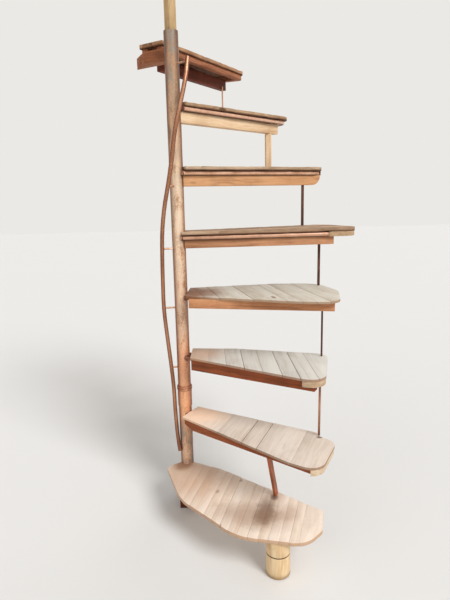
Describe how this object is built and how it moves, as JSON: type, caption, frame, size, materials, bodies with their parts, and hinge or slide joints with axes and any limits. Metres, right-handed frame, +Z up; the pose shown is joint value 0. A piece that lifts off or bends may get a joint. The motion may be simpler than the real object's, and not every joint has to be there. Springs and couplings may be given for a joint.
{
  "type": "spiral staircase",
  "caption": "Hand-built open spiral stair: timber treads on bent steel frames and timber bearers round a rusty steel tube, with a winding grab rail and slim uprights",
  "frame": {"origin": "Centre of the foot plate's flat underside, on the axis of the centre tube.", "axes": "+Z up along the centre tube, +X to the right and -Y towards someone who stands in front of the stair, as the picture sees it. The treads turn anticlockwise going up, seen from above."},
  "size_m": [0.9245, 1.3121, 2.883],
  "materials": {
    "rusty_steel": "bare steel tube, rusted to a warm brown with pale worn streaks",
    "rail_steel": "bare round bar, dark rust, worn smooth by hands",
    "frame_steel": "bare bent tube, reddish rust",
    "dark_steel": "bare steel, dark brown rust",
    "floor_boards": "narrow boards, worn, with old brown stain",
    "weathered_boards": "weathered grey-tan boards, dry and matt",
    "red_timber": "old red-brown stained timber, matt",
    "pale_timber": "raw pale pine, matt",
    "log_timber": "peeled raw log, matt"
  },
  "bodies": {
    "root": {"foot_plate": "dark_steel", "lower_tube": "rusty_steel", "upper_tube": "rusty_steel", "joint_sleeve": "rusty_steel", "weld_rings": "rusty_steel", "base_block": "red_timber", "log_lower": "log_timber", "log_upper": "log_timber", "top_post": "pale_timber", "landing_beam": "red_timber", "grab_rail": "rail_steel", "rail_pins": "rail_steel", "tread_1": "floor_boards", "tread_2": "weathered_boards", "tread_3": "weathered_boards", "tread_4": "weathered_boards", "tread_5": "weathered_boards", "tread_6": "weathered_boards", "tread_7": "weathered_boards", "tread_8": "weathered_boards", "frame_2": "frame_steel", "frame_3": "frame_steel", "frame_4": "frame_steel", "frame_5": "frame_steel", "frame_6": "frame_steel", "frame_7": "frame_steel", "frame_8": "red_timber", "bearer_2": "red_timber", "bearer_3": "red_timber", "bearer_4": "red_timber", "bearer_5": "red_timber", "bearer_6": "red_timber", "bearer_7": "pale_timber", "bearer_8": "red_timber", "nose_strip_2": "pale_timber", "nose_strip_3": "pale_timber", "nose_strip_5": "pale_timber", "nose_strip_6": "pale_timber", "spindle_1": "frame_steel", "spindle_2": "dark_steel", "spindle_3": "dark_steel", "spindle_4": "dark_steel", "spindle_5": "dark_steel", "spindle_6": "pale_timber", "spindle_7": "dark_steel"}
  },
  "joints": []
}
